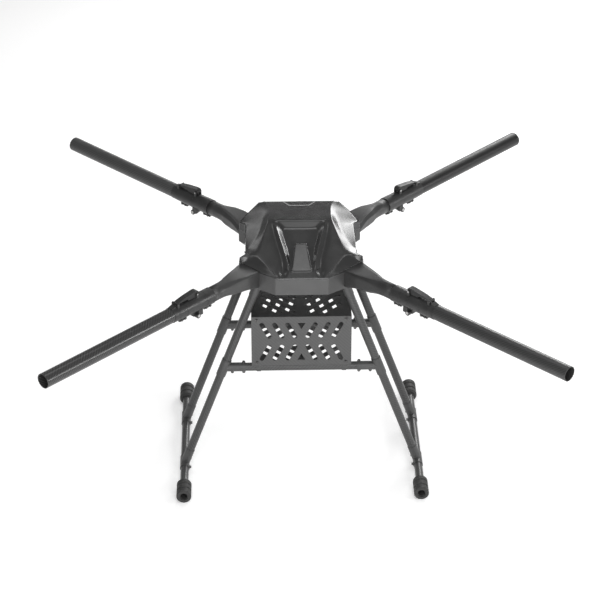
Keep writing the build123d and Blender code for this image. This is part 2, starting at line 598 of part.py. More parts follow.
# ---------------------------------------------------------------- all nodes
def build():
    nodes = {
        "lower_hull": lower_hull(),
        "top_cover": top_cover(),
        "cover_screws": cover_screws(),
        "lower_centre_plate": centre_plate(ARM_Z + STUB_LOW - PLATE, 112, 106),
        "upper_centre_plate": centre_plate(ARM_Z + STUB_TOP, 100, 96),
        "plate_standoffs": plate_standoffs(),
        "plate_bolts": plate_bolts(),
        "power_board": power_board(),
    }
    keepers, hinge_pins, root_bolts = [], [], []
    for name, (angle, side) in ARMS.items():
        nodes["arm_root_" + name] = place_arm(name, arm_root(side))
        nodes["fixed_collar_" + name] = place_arm(name, fixed_collar())
        nodes["folding_collar_" + name] = place_arm(name, folding_collar())
        nodes["arm_tube_" + name] = place_arm(name, arm_tube())
        nodes["latch_lever_" + name] = place_arm(name, latch_lever())
        nodes["lever_pin_" + name] = place_arm(name, latch_pin(LEVER_S, LEVER_Z))
        fold_bolts = [place_arm(name, bolt) for bolt in clamp_bolts(*FOLD_EARS)]
        nodes["arm_clamp_bolts_" + name] = Compound(fold_bolts)
        keepers.append(place_arm(name, latch_pin(KEEPER_S, KEEPER_Z)))
        hinge_pins.append(place_arm(name, headed_pin(FOLD_S, PIN_Z, PIN_R, EAR_W, PIN_R + 0.8)))
        root_bolts += [place_arm(name, bolt) for bolt in clamp_bolts(*ROOT_EARS)]
    nodes["keeper_pins"] = Compound(keepers)
    nodes["hinge_pins"] = Compound(hinge_pins)
    nodes["root_clamp_bolts"] = Compound(root_bolts)

    for name, (sx, sy) in CORNERS.items():
        nodes["leg_tube_" + name] = at_corner(leg_tube(), sx, sy)
    nodes["leg_sockets"] = Compound([at_corner(leg_socket(), *c) for c in CORNERS.values()])
    nodes["cross_tees"] = Compound([at_corner(cross_tee(), *c) for c in CORNERS.values()])
    nodes["skid_tees"] = Compound([at_corner(skid_tee(), *c) for c in CORNERS.values()])
    nodes["gear_bolts"] = gear_bolts()
    for word, s in (("front", -1), ("rear", 1)):
        nodes["cross_tube_" + word] = cross_tube(s)
        nodes["bay_wall_" + word] = bay_wall(s)
    for word, s in (("left", -1), ("right", 1)):
        nodes["skid_tube_" + word] = skid_tube(s)
        nodes["skid_sleeves_" + word] = Compound([skid_sleeve(s, -1), skid_sleeve(s, 1)])
    nodes["bay_floor"] = bay_deck(BAY_LOW + 1)
    nodes["bay_top"] = bay_deck(BAY_HIGH - BAY_PLATE)
    nodes["bay_brackets"] = bay_brackets()
    nodes["bay_clamps"] = bay_clamps()
    nodes["bay_screws"] = bay_screws()
    return nodes


os.makedirs("parts", exist_ok=True)
for node, shape in build().items():
    export_step(shape, "parts/" + node + ".step")
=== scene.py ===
import bmesh
import bpy
from contextlib import contextmanager
from math import cos, pi, radians, sin
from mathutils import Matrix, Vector
from mathutils.bvhtree import BVHTree


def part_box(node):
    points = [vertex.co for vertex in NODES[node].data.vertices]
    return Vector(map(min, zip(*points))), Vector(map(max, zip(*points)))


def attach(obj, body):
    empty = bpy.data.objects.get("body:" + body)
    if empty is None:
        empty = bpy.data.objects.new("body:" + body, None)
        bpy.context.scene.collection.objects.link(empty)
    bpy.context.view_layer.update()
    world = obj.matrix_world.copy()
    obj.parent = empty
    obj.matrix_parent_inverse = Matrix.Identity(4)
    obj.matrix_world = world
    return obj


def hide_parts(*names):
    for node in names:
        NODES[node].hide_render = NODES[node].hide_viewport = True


MM = 0.001

# ---------------------------------------------------------------- frame
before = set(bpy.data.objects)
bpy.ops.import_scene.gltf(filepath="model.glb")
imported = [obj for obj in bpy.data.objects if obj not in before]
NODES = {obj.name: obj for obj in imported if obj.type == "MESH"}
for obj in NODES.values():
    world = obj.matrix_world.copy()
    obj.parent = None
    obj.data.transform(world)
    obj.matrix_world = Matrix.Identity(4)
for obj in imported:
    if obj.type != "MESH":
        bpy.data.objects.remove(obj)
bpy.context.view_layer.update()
ARMS = {              # direction in plan, and which way across the arm its waist side lies
    "front_right": (-45, 1), "rear_right": (45, -1), "rear_left": (135, 1), "front_left": (225, -1),
}


def frame_mm(node):
    """A CAD node's lowest and highest corner in millimetres."""
    low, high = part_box(node)
    return low / MM, high / MM


def arm_direction(name):
    """Unit vector along an arm, away from the body."""
    turn = radians(ARMS[name][0])
    return Vector((cos(turn), sin(turn), 0))


TUBE_LOW, TUBE_HIGH = frame_mm("arm_tube_front_right")
ARM_Z = (TUBE_LOW.z + TUBE_HIGH.z) / 2          # height of the arm axis
NOSE_Y = frame_mm("lower_hull")[1].y            # the hull reaches as far forward as back
BODY_SIDES = {"right": 1, "left": -1}

# ---------------------------------------------------------------- mesh helpers
MERGE = 0.02          # points nearer than this are one point


def new_piece(name, verts, faces, material, smooth=True):
    """Mesh object from points in millimetres."""
    mesh = bpy.data.meshes.new(name)
    mesh.from_pydata([(x * MM, y * MM, z * MM) for x, y, z in verts], [], faces)
    mesh.update()
    piece = bpy.data.objects.new(name, mesh)
    bpy.context.scene.collection.objects.link(piece)
    mesh.materials.append(material)
    for polygon in mesh.polygons:
        polygon.use_smooth = smooth
    return piece


@contextmanager
def edited(piece):
    """Opens a piece's mesh for changes with its doubled points joined."""
    bm = bmesh.new()
    bm.from_mesh(piece.data)
    bmesh.ops.remove_doubles(bm, verts=bm.verts, dist=MERGE * MM)
    yield bm
    bm.to_mesh(piece.data)
    bm.free()


def weld(piece):
    """Joins doubled points, so that collapsed cage faces become triangles."""
    with edited(piece):
        pass


def clean(piece):
    """Welds doubled points, drops slivers and turns every face outwards."""
    with edited(piece) as bm:
        bmesh.ops.dissolve_degenerate(bm, edges=bm.edges, dist=MERGE * MM / 2)
        bmesh.ops.recalc_face_normals(bm, faces=bm.faces)
    return piece


def apply_modifiers(piece):
    """Turns a piece's modifiers into plain smooth-shaded mesh."""
    graph = bpy.context.evaluated_depsgraph_get()
    graph.update()
    done = bpy.data.meshes.new_from_object(piece.evaluated_get(graph))
    piece.modifiers.clear()
    piece.data = done
    for polygon in done.polygons:
        polygon.use_smooth = True
    return piece


def subdivide(piece, levels):
    """Adds smooth subdivision, which keeps the edges and corners marked as creases."""
    mod = piece.modifiers.new("subdivide", "SUBSURF")
    mod.levels = mod.render_levels = levels
    return piece


def thicken(piece, wall):
    """Adds a wall of even thickness on the inside of a surface."""
    mod = piece.modifiers.new("wall", "SOLIDIFY")
    mod.thickness = wall * MM
    mod.offset = -1
    mod.use_even_offset = True
    return piece


def lerp(a, b, t):
    """Point between two tuples."""
    return tuple(p + (q - p) * t for p, q in zip(a, b))


def grid_faces(rows, columns):
    """Quads of a grid whose points are listed row by row."""
    return [(r * columns + c, r * columns + c + 1, (r + 1) * columns + c + 1, (r + 1) * columns + c)
            for r in range(rows - 1) for c in range(columns - 1)]


def skin(rings, count, first=0):
    """Faces of a closed body over rings of count points, which are numbered from first."""
    faces = [(r * count + k, r * count + (k + 1) % count, (r + 1) * count + (k + 1) % count,
              (r + 1) * count + k) for r in range(rings - 1) for k in range(count)]
    last = (rings - 1) * count
    faces += [tuple(range(count)), tuple(last + k for k in reversed(range(count)))]
    return [tuple(first + i for i in face) for face in faces]


# ---------------------------------------------------------------- materials
def new_material(name, colour, roughness, metallic=0.0, coat=0.0, specular=0.5):
    """Principled material; the numbers set here are the same all over the surface."""
    material = bpy.data.materials.new(name)
    material.use_nodes = True
    shader = material.node_tree.nodes["Principled BSDF"]
    shader.inputs["Base Color"].default_value = (*colour, 1)
    shader.inputs["Roughness"].default_value = roughness
    shader.inputs["Metallic"].default_value = metallic
    shader.inputs["Specular IOR Level"].default_value = specular
    shader.inputs["Coat Weight"].default_value = coat
    shader.inputs["Coat Roughness"].default_value = 0.12
    return material


class Nodes:
    """Short ways to add and link shader nodes in one material."""

    def __init__(self, material):
        self.tree = material.node_tree
        self.shader = self.tree.nodes["Principled BSDF"]
        self.point = self.tree.nodes.new("ShaderNodeTexCoord").outputs["Object"]

    def link(self, source, target):
        self.tree.links.new(source, target)

    def feed(self, socket, value):
        if hasattr(value, "is_output"):
            self.link(value, socket)
        else:
            socket.default_value = value

    def math(self, operation, a, b=0.0, c=0.0):
        node = self.tree.nodes.new("ShaderNodeMath")
        node.operation = operation
        for socket, value in zip(node.inputs, (a, b, c)):
            self.feed(socket, value)
        return node.outputs[0]

    def dot(self, vector, direction):
        node = self.tree.nodes.new("ShaderNodeVectorMath")
        node.operation = "DOT_PRODUCT"
        self.feed(node.inputs[0], vector)
        node.inputs[1].default_value = direction
        return node.outputs["Value"]

    def shifted(self, origin):
        node = self.tree.nodes.new("ShaderNodeVectorMath")
        node.operation = "SUBTRACT"
        self.feed(node.inputs[0], self.point)
        node.inputs[1].default_value = origin
        return node.outputs["Vector"]

    def noise(self, per_metre, detail=4.0, rough=0.55, vector=None):
        node = self.tree.nodes.new("ShaderNodeTexNoise")
        self.feed(node.inputs["Vector"], vector or self.point)
        node.inputs["Scale"].default_value = per_metre
        node.inputs["Detail"].default_value = detail
        node.inputs["Roughness"].default_value = rough
        return node.outputs["Fac"]

    def ramp(self, value, low, high, out_low, out_high):
        node = self.tree.nodes.new("ShaderNodeMapRange")
        self.feed(node.inputs["Value"], value)
        span = {"From Min": low, "From Max": high, "To Min": out_low, "To Max": out_high}
        for key, number in span.items():
            node.inputs[key].default_value = number
        return node.outputs["Result"]

    def colours(self, value, dark, light):
        node = self.tree.nodes.new("ShaderNodeMix")
        node.data_type = "RGBA"
        self.feed(node.inputs["Factor"], value)
        node.inputs["A"].default_value = (*dark, 1)
        node.inputs["B"].default_value = (*light, 1)
        return node.outputs["Result"]

    def bump(self, height, distance_mm, strength=1.0, normal=None):
        node = self.tree.nodes.new("ShaderNodeBump")
        node.inputs["Strength"].default_value = strength
        node.inputs["Distance"].default_value = distance_mm * MM
        self.feed(node.inputs["Height"], height)
        if normal is not None:
            self.link(normal, node.inputs["Normal"])
        return node.outputs["Normal"]

    def rounded(self, radius_mm):
        """Normal that rounds sharp machined edges."""
        node = self.tree.nodes.new("ShaderNodeBevel")
        node.samples = 4
        node.inputs["Radius"].default_value = radius_mm * MM
        return node.outputs["Normal"]


def grey(value, warm=0.0):
    return (value * (1 + warm), value, value * (1 - warm))


def moulded(name, value, roughness, grain=900.0, coat=0.0, edge=0.4):
    """Moulded plastic: fine grain, faint flow marks, slightly uneven gloss."""
    material = new_material(name, grey(value), roughness, coat=coat)
    n = Nodes(material)
    fine, broad = n.noise(grain, 6.0, 0.65), n.noise(14.0, 3.0)
    tone = n.math("ADD", n.math("MULTIPLY", fine, 0.5), n.math("MULTIPLY", broad, 0.5))
    spread = n.ramp(tone, 0.35, 0.65, 0.0, 1.0)
    n.link(n.colours(spread, grey(value * 0.90), grey(value * 1.12)), n.shader.inputs["Base Color"])
    uneven = n.ramp(n.noise(60.0, 5.0), 0.3, 0.7, roughness - 0.03, roughness + 0.05)
    n.link(uneven, n.shader.inputs["Roughness"])
    n.link(n.bump(fine, 0.015, 0.3, n.rounded(edge)), n.shader.inputs["Normal"])
    return material


def twill(n, u, v, tow_mm):
    """2 by 2 twill from two surface lengths in metres: (which tow is on top, its crown height)."""
    column = n.math("DIVIDE", u, tow_mm * MM)
    row = n.math("DIVIDE", v, tow_mm * MM)
    phase = n.math("ADD", n.math("FLOOR", column), n.math("FLOOR", row))
    over = n.math("LESS_THAN", n.math("FLOORED_MODULO", phase, 4.0), 1.5)
    crown_u = n.math("ABSOLUTE", n.math("SINE", n.math("MULTIPLY", column, pi)))
    crown_v = n.math("ABSOLUTE", n.math("SINE", n.math("MULTIPLY", row, pi)))
    crown = n.math("ADD", n.math("MULTIPLY", over, crown_u),
                   n.math("MULTIPLY", n.math("SUBTRACT", 1.0, over), crown_v))
    return over, crown


def weave_finish(n, over, crown, value, roughness, contrast):
    """Colour, gloss and relief of a woven laminate under a thin clear coat."""
    fibre = n.noise(2600.0, 2.0)
    tone = n.math("ADD", n.math("MULTIPLY", over, 0.55), n.math("MULTIPLY", crown, 0.3))
    tone = n.math("ADD", tone, n.math("MULTIPLY", fibre, 0.3))
    spread = n.ramp(tone, 0.15, 1.0, 0.0, 1.0)
    colour = n.colours(spread, grey(value * (1 - contrast)), grey(value * (1 + contrast)))
    n.link(colour, n.shader.inputs["Base Color"])
    uneven = n.math("ADD", n.math("MULTIPLY", over, 0.06), n.ramp(n.noise(35.0), 0.3, 0.7, -0.03, 0.05))
    n.link(n.math("ADD", uneven, roughness), n.shader.inputs["Roughness"])
    n.link(n.bump(crown, 0.05, 0.25), n.shader.inputs["Normal"])


def carbon_tube(name, origin, along, across, radius_mm, value, roughness=0.34, tow_mm=2.0,
                contrast=0.24):
    """Roll-wrapped carbon tube: twill laid along the axis and round the girth."""
    material = new_material(name, grey(value), roughness, coat=0.05, specular=0.36)
    n = Nodes(material)
    place = n.shifted([c * MM for c in origin])
    third = Vector(along).cross(Vector(across))
    turn = n.math("ARCTAN2", n.dot(place, tuple(third)), n.dot(place, tuple(across)))
    girth = n.math("MULTIPLY", turn, radius_mm * MM)
    length = n.dot(place, tuple(along))
    over, crown = twill(n, length, girth, tow_mm)
    weave_finish(n, over, crown, value, roughness, contrast)
    return material


def carbon_sheet(name, u, v, value, roughness=0.42, coat=0.15, specular=0.5, tow_mm=2.2,
                 contrast=0.16):
    """Flat carbon laminate with its weave along the two given directions."""
    material = new_material(name, grey(value), roughness, coat=coat, specular=specular)
    n = Nodes(material)
    over, crown = twill(n, n.dot(n.point, u), n.dot(n.point, v), tow_mm)
    weave_finish(n, over, crown, value, roughness, contrast)
    return material


def anodised(name, value, roughness=0.38):
    """Machined and black-anodised aluminium with faint tool marks and rubbed edges."""
    material = new_material(name, grey(value), roughness, metallic=0.35)
    n = Nodes(material)
    marks, cloud = n.noise(1400.0, 3.0), n.noise(45.0, 4.0)
    n.link(n.colours(n.ramp(cloud, 0.3, 0.7, 0.0, 1.0), grey(value * 0.88), grey(value * 1.15)),
           n.shader.inputs["Base Color"])
    n.link(n.ramp(cloud, 0.3, 0.7, roughness - 0.06, roughness + 0.08), n.shader.inputs["Roughness"])
    n.link(n.bump(marks, 0.03, 0.3, n.rounded(0.35)), n.shader.inputs["Normal"])
    return material


def steel(name, value, roughness):
    """Turned steel: faint scratches."""
    material = new_material(name, grey(value, 0.01), roughness, metallic=1.0)
    n = Nodes(material)
    scratch = n.noise(3000.0, 2.0)
    n.link(n.ramp(scratch, 0.3, 0.7, roughness - 0.06, roughness + 0.1), n.shader.inputs["Roughness"])
    n.link(n.bump(scratch, 0.02, 0.2, n.rounded(0.25)), n.shader.inputs["Normal"])
    return material


def rubber(name, value):
    """Matt moulded rubber with a pebbled skin and a little dust in patches."""
    material = new_material(name, grey(value), 0.62, specular=0.35)
    n = Nodes(material)
    pebble, dust = n.noise(1500.0, 3.0), n.noise(70.0, 5.0)
    n.link(n.colours(n.ramp(dust, 0.4, 0.75, 0.0, 1.0), grey(value * 0.9), grey(value * 1.3, 0.02)),
           n.shader.inputs["Base Color"])
    n.link(n.ramp(dust, 0.3, 0.7, 0.55, 0.7), n.shader.inputs["Roughness"])
    n.link(n.bump(pebble, 0.08, 0.4), n.shader.inputs["Normal"])
    return material


def circuit_board(name):
    """Green lacquered board with slanting tracks."""
    material = new_material(name, (0.02, 0.08, 0.04), 0.4)
    n = Nodes(material)
    wave = n.math("SINE", n.math("MULTIPLY", n.dot(n.point, (1, 1, 0)), 1400.0))
    tracks = n.math("GREATER_THAN", wave, 0.6)
    n.link(n.colours(tracks, (0.015, 0.07, 0.035), (0.03, 0.14, 0.07)), n.shader.inputs["Base Color"])
    n.link(n.ramp(n.noise(300.0), 0.3, 0.7, 0.3, 0.5), n.shader.inputs["Roughness"])
    return material


RIB_PITCH = 3.2                         # between the fine ribs of an arm root
RIBS_FULL, RIBS_END = 0.006, 0.012      # heights over the arm axis, in metres, where the ribs fade


def root_skin(name, value, roughness, specular, arm):
    """Moulded root: smooth on top, fine slanting ribs on its lower faces, faint flow marks; the rib crests
    are painted lighter too, a painted highlight that lightens the ribbed lower faces.
    """
    material = new_material(name, grey(value), roughness, specular=specular)
    n = Nodes(material)
    height = n.dot(n.shifted((0, 0, ARM_Z * MM)), (0, 0, 1))
    length = n.dot(n.point, tuple(arm_direction(arm) * 0.35))
    slant = n.math("ADD", length, n.math("MULTIPLY", height, 0.94))
    rib = n.math("ABSOLUTE", n.math("SINE", n.math("MULTIPLY", slant, pi / (RIB_PITCH * MM))))
    rib_relief_and_sheen = n.math("MULTIPLY", rib, n.ramp(height, RIBS_FULL, RIBS_END, 1.0, 0.0))
    fine, cloud = n.noise(1000.0, 6.0, 0.65), n.noise(40.0, 4.0)
    # painted highlight: the rib crests are coloured lighter as well as raised
    tone = n.math("ADD", n.math("MULTIPLY", rib_relief_and_sheen, 0.5), n.math("MULTIPLY", cloud, 0.5))
    spread = n.ramp(tone, 0.2, 0.8, 0.0, 1.0)
    n.link(n.colours(spread, grey(value * 0.82), grey(value * 1.25)), n.shader.inputs["Base Color"])
    n.link(n.ramp(cloud, 0.3, 0.7, roughness - 0.05, roughness + 0.06), n.shader.inputs["Roughness"])
    relief = n.math("ADD", rib_relief_and_sheen, n.math("MULTIPLY", fine, 0.12))
    n.link(n.bump(relief, 0.25, 0.5, n.rounded(0.6)), n.shader.inputs["Normal"])
    return material


# ---------------------------------------------------------------- arm roots
ROOT_SECTIONS = [     # along the arm, waist side, outer side, top, both lower edges, four corner cuts
    (160.5, 46.0, 20.5, 12.0, -33.0, -27.0, (7.0, 2.0, 3.0, 27.0)),
    (187.0, 37.0, 23.3, 15.2, -25.5, -24.0, (7.4, 3.0, 5.0, 17.8)),
    (203.0, 31.5, 25.0, 17.0, -22.0, -22.0, (7.6, 3.5, 6.7, 13.7)),
    (225.0, 26.0, 23.5, 18.3, -21.5, -21.5, (8.8, 5.0, 8.9, 11.3)),
    (250.0, 21.0, 21.0, 18.6, -20.3, -20.3, (10.5, 7.0, 11.5, 11.5)),
    (276.0, 18.2, 18.2, 18.2, -18.2, -18.2, (10.7, 10.7, 10.7, 10.7)),
]
ROOT_START, ROOT_END = ROOT_SECTIONS[0][0], ROOT_SECTIONS[-1][0]
RING_STEP = 3.5
ROUND_FROM = 236.0                      # from here to ROOT_END the section turns round
CORNERS = 8
CORNER_FRACTIONS = (0.0, 0.07, 0.2, 0.5, 0.8, 0.93)     # samples along a side, corner first
CORNER_SOFT = 0.6                       # how far a corner is drawn in
GROOVE_CORNER, GROOVE_DEPTH = 1, 1.0    # fine groove along the corner between waist side and top
GROOVE_START, GROOVE_END = 178.0, 257.0
TONGUE_LENGTH, TONGUE_SCALE, TONGUE_DROP = 3.0, 0.9, 1.0    # the part that reaches into the hull
BARREL_R, SPIGOT_R, WIRE_R = 18.2, 17.0, 14.5
CLAMP_START, CLAMP_STEP, SPIGOT_END, WIRE_START = 300.0, 0.1, 325.0, 200.0
STUB_START, STUB_HALF, STUB_INSET = 94.0, 18.0, 4.0
STUB_LOW, STUB_TOP = -18.0, 7.0


def root_corners(section):
    """The eight corners of a root section, from the waist side over the top."""
    s, waist, outer, top, low_outer, low_waist, cuts = section
    top_waist, top_outer, bottom_outer, bottom_waist = cuts
    return [(waist, top - top_waist), (waist - top_waist, top), (top_outer - outer, top),
            (-outer, top - top_outer), (-outer, low_outer + bottom_outer),
            (bottom_outer - outer, low_outer), (waist - bottom_waist, low_waist),
            (waist, low_waist + bottom_waist)]


def smooth(values, places, at):
    """Curve through values at rising places, read at one place."""
    i = max(k for k in range(len(places) - 1) if places[k] <= at or k == 0)
    t = (at - places[i]) / (places[i + 1] - places[i])
    p0, p1, p2, p3 = (values[min(max(k, 0), len(values) - 1)] for k in (i - 1, i, i + 1, i + 2))
    return 0.5 * (2 * p1 + (p2 - p0) * t + (2 * p0 - 5 * p1 + 4 * p2 - p3) * t * t
                  + (3 * p1 - p0 - 3 * p2 + p3) * t ** 3)


def soft_corner(before, here, after):
    """A section's corner drawn in towards the chord across it."""
    reach = CORNER_FRACTIONS[1]
    chord = lerp(lerp(before, here, 1 - reach), lerp(here, after, reach), 0.5)
    return lerp(here, chord, CORNER_SOFT)


def circle_point(place):
    """Unit circle point that goes with a place counted in corners round a section."""
    turn = radians(22.5 + 45 * place)
    return cos(turn), sin(turn)


def root_ring(s):
    """One ring of (across, up) points: a soft-cornered polygon that becomes round at the barrel."""
    places = [section[0] for section in ROOT_SECTIONS]
    corners = [root_corners(section) for section in ROOT_SECTIONS]
    now = [tuple(smooth([c[i][axis] for c in corners], places, s) for axis in (0, 1))
           for i in range(CORNERS)]
    blend = min(max((s - ROUND_FROM) / (ROOT_END - ROUND_FROM), 0.0), 1.0)
    ring = []
    for i in range(CORNERS):
        before, here, after = now[i - 1], now[i], now[(i + 1) % CORNERS]
        side = [soft_corner(before, here, after)] + [lerp(here, after, f) for f in CORNER_FRACTIONS[1:]]
        if i == GROOVE_CORNER and GROOVE_START < s < GROOVE_END:
            side[0] = (side[0][0], side[0][1] - GROOVE_DEPTH)
        for point, f in zip(side, CORNER_FRACTIONS):
            x, z = circle_point(i + f)
            ring.append(lerp(point, (BARREL_R * x, BARREL_R * z), blend))
    return ring


def root_rings():
    """(place along the arm, ring): the tongue, the flared body, the spigot, and back along the wire way."""
    tongue = [(t * TONGUE_SCALE, z * TONGUE_SCALE - TONGUE_DROP) for t, z in root_ring(ROOT_START)]
    steps = int((ROOT_END - ROOT_START) / RING_STEP)
    places = [ROOT_START + k * RING_STEP for k in range(steps + 1)]
    rings = [(ROOT_START - TONGUE_LENGTH, tongue)] + [(s, root_ring(s)) for s in places]
    circle = [circle_point(i + f) for i in range(CORNERS) for f in CORNER_FRACTIONS]
    for s, radius in ((CLAMP_START, BARREL_R), (CLAMP_START + CLAMP_STEP, SPIGOT_R), (SPIGOT_END, SPIGOT_R),
                      (SPIGOT_END, WIRE_R), (WIRE_START, WIRE_R)):
        rings.append((s, [(x * radius, z * radius) for x, z in circle]))
    return rings


def stub_rings():
    """(place along the arm, ring): the square inner stub between the centre plates."""
    square = [(-STUB_HALF, STUB_LOW), (STUB_HALF, STUB_LOW), (STUB_HALF, STUB_TOP), (-STUB_HALF, STUB_TOP)]
    return [(STUB_START, square), (ROOT_START - STUB_INSET, square)]


def arm_root(name, material):
    """Moulded arm root: its flared body, the spigot in the clamp, the wire way and the inner stub."""
    along = arm_direction(name)
    across = Vector((-along.y, along.x, 0)) * ARMS[name][1]
    verts, faces = [], []
    for rings in (root_rings(), stub_rings()):
        faces += skin(len(rings), len(rings[0][1]), len(verts))
        verts += [along * s + across * t + Vector((0, 0, ARM_Z + z)) for s, ring in rings for t, z in ring]
    return clean(new_piece("arm_root_skin_" + name, verts, faces, material))


# ---------------------------------------------------------------- top cover
DECK = 60.0                      # heights here are above the arm axis
COVER_FOOT = 8.0
SLOPE_RISE = 0.278               # rise of the front slope, per mm
ROW_Y = (131, 108, 85, 60, 32, 18, -20, -46, -51, -66, -82, -87, -100, -131, -134, -155)
DECK_ROW, BAND_ROW, BLOCK_ROW, WAIST_ROW, HORN_ROW, BLOCK_FOOT_ROW = 4, 5, 8, 9, 10, 13
LAST_ROW = len(ROW_Y) - 1
REAR_WALL_NARROW = 62 / 85       # width of the rear wall's foot, as a part of its top
COVER_WALL = 2.0
COVER_SUBDIVISION = 3

# Long lines on the top: knots of (y, x, lift over the deck or slope), from the middle outwards.
TOP_LINES = {
    "middle": [(32, 0, 0), (18, 0, -10.1), (-46, 0, -10.3), (-51, 0, 6.6), (-131, 0, 1.2), (-134, 0, 0)],
    "block_edge": [(131, 30, 0), (32, 24, 0), (18, 14, -10.1), (-46, 13, -10.3), (-51, 13, 6.6),
                   (-131, 23, 1.2), (-134, 23.5, 0), (-155, 24, 0)],
    "block_foot": [(131, 50, 0), (32, 44, 0), (18, 28, -10.1), (-46, 15, -10.3), (-51, 15, -9.5),
                   (-100, 21.5, -4), (-131, 24.5, -0.2), (-155, 26, 0)],
    "wall_foot": [(131, 60, 0), (32, 54, 0), (18, 44, -9.5), (-20, 38, -8.5), (-51, 31, -8.5),
                  (-100, 26, -4.5), (-131, 26, -0.2), (-155, 28, 0)],
    "ridge": [(131, 67, 0), (32, 61, 0), (18, 59.5, 1.2), (-20, 51.2, 2.2), (-100, 33.3, 1.8),
              (-131, 31.5, 0.8), (-155, 35, 0)],
    "flute": [(131, 72, 0), (32, 66, 0), (18, 66, -2.6), (-20, 59.5, -4.2), (-100, 43, -5.5),
              (-131, 44, -8.4), (-155, 45.5, 0)],
    "flute_out": [(131, 78, 0), (32, 70.5, 0), (18, 72.5, 0), (-20, 75, 0), (-100, 58, 0), (-155, 51, 0)],
    "shoulder": [(131, 85, 0), (108, 76.5, 0), (85, 74.7, 0), (60, 74.7, 0), (32, 76.2, 0), (18, 78.5, 0),
                 (-20, 88.5, 0), (-51, 95.5, 0), (-82, 105.5, 0), (-155, 53, 0)],
}
# Lines down the side: (row, x, y, height), from the shoulder down to the parting line.
SIDE_LINES = {
    "crease": [(0, 90, 131, 58.5), (1, 82, 108, 58.6), (2, 86.7, 88, 55.6), (4, 91.8, 32, 47.4),
               (5, 94.6, 16, 44.5), (6, 107, -15, 35.4), (7, 121, -38, 27), (8, 129, -48, 24.3),
               (9, 119, -67, 29), (10, 126, -80, 27.9), (11, 125, -86, 17), (12, 108, -103, 14.5),
               (13, 87, -129, 14), (15, 62, -155, 8)],
    "rim": [(0, 96, 131, 57.4), (3, 133, 94, 38.5), (4, 144, 83, 29), (5, 130, 65, 34.5), (8, 130, -48, 24),
            (9, 131, -66, 25), (10, 144, -83, 25.5), (11, 140, -87, 13), (13, 99, -128, 13.5),
            (15, 62, -155, 8)],
    "foot": [(0, 99, 128, 8), (4, 146, 81, 8), (5, 131, 66, 8), (9, 131, -66, 8), (10, 146, -81, 8),
             (13, 99, -128, 8), (15, 62, -155, 8)],
}
REAR_FOOT = {"crease": (74, 146), "rim": (86, 137), "foot": (99, 128)}
COVER_COLUMNS = list(TOP_LINES) + list(SIDE_LINES)
COVER_CORNERS = [(-1, "shoulder"), (-1, "foot"), (0, "shoulder"), (0, "rim"), (HORN_ROW, "shoulder"),
                 (LAST_ROW, "shoulder")]
COVER_CORNERS += [(HORN_ROW, "crease"), (HORN_ROW + 1, "rim")]
BLOCK_CORNER_ROWS = (BLOCK_ROW - 1, BLOCK_ROW, BLOCK_FOOT_ROW, BLOCK_FOOT_ROW + 1)
COVER_CORNERS += [(row, "block_edge") for row in BLOCK_CORNER_ROWS]
COVER_CORNERS += [(row, column) for row in (DECK_ROW, BAND_ROW, WAIST_ROW, HORN_ROW, BLOCK_FOOT_ROW)
                  for column in ("rim", "foot")]


def between(knots, at):
    """Straight-line reading of a list of knots at a first coordinate that rises or falls along it."""
    up = knots[0][0] < knots[-1][0]
    for a, b in zip(knots, knots[1:]):
        low, high = (a[0], b[0]) if up else (b[0], a[0])
        if low <= at <= high:
            return lerp(a[1:], b[1:], (at - a[0]) / (b[0] - a[0]))
    outside_first = at < knots[0][0] if up else at > knots[0][0]
    return knots[0][1:] if outside_first else knots[-1][1:]


def slope_height(y):
    """Height of the deck or of the front slope."""
    return min(DECK, COVER_FOOT + SLOPE_RISE * (y + NOSE_Y))


def cover_row(row):
    """Right-hand half of one row of the cover's cage, from the middle outwards."""
    y, points = ROW_Y[row], []
    for knots in TOP_LINES.values():
        x, lift = between(knots, y)
        points.append((x, y, slope_height(y) + lift))
    return points + [between(knots, row) for knots in SIDE_LINES.values()]


def rear_foot_row():
    """The row where the rear wall meets the parting line."""
    points = [(x * REAR_WALL_NARROW, NOSE_Y, COVER_FOOT) for x, y, z in cover_row(0)[:len(TOP_LINES)]]
    return points + [(x, y, COVER_FOOT) for x, y in REAR_FOOT.values()]


def cover_creases():
    """Edges to keep crisp: ((row, column), (row, column), sharpness) in the half cage."""
    def down(column, first, last, sharp):
        c = COVER_COLUMNS.index(column)
        return [((r, c), (r + 1, c), sharp) for r in range(first, last)]

    def across(row, first, last, sharp):
        c0, c1 = COVER_COLUMNS.index(first), COVER_COLUMNS.index(last)
        return [((row, c), (row, c + 1), sharp) for c in range(c0, c1)]

    lines = down("block_edge", BLOCK_ROW, BLOCK_FOOT_ROW, 0.9)
    lines += down("block_foot", BLOCK_ROW - 1, BLOCK_FOOT_ROW, 0.7)
    lines += down("wall_foot", BAND_ROW, BLOCK_FOOT_ROW - 1, 0.7)
    lines += down("ridge", BAND_ROW, BLOCK_FOOT_ROW, 0.6)
    lines += down("flute", BAND_ROW, BLOCK_FOOT_ROW, 0.3)
    lines += down("shoulder", 0, DECK_ROW - 1, 0.55) + down("shoulder", DECK_ROW - 1, HORN_ROW, 0.85)
    lines += down("shoulder", HORN_ROW, LAST_ROW, 0.95)
    lines += down("crease", DECK_ROW - 2, BLOCK_ROW, 0.8) + down("rim", 0, LAST_ROW, 1.0)
    lines += across(0, "middle", "rim", 0.9) + across(DECK_ROW, "middle", "ridge", 0.65)
    lines += across(BAND_ROW, "middle", "wall_foot", 0.8)
    for row in BLOCK_CORNER_ROWS:
        lines += across(row, "middle", "block_edge", 0.9)
    lines += across(HORN_ROW, "shoulder", "rim", 1.0) + across(HORN_ROW + 1, "crease", "rim", 0.7)
    for row in (0, DECK_ROW, BAND_ROW, WAIST_ROW, HORN_ROW, BLOCK_FOOT_ROW):
        lines += across(row, "rim", "foot", 1.0)
    return lines


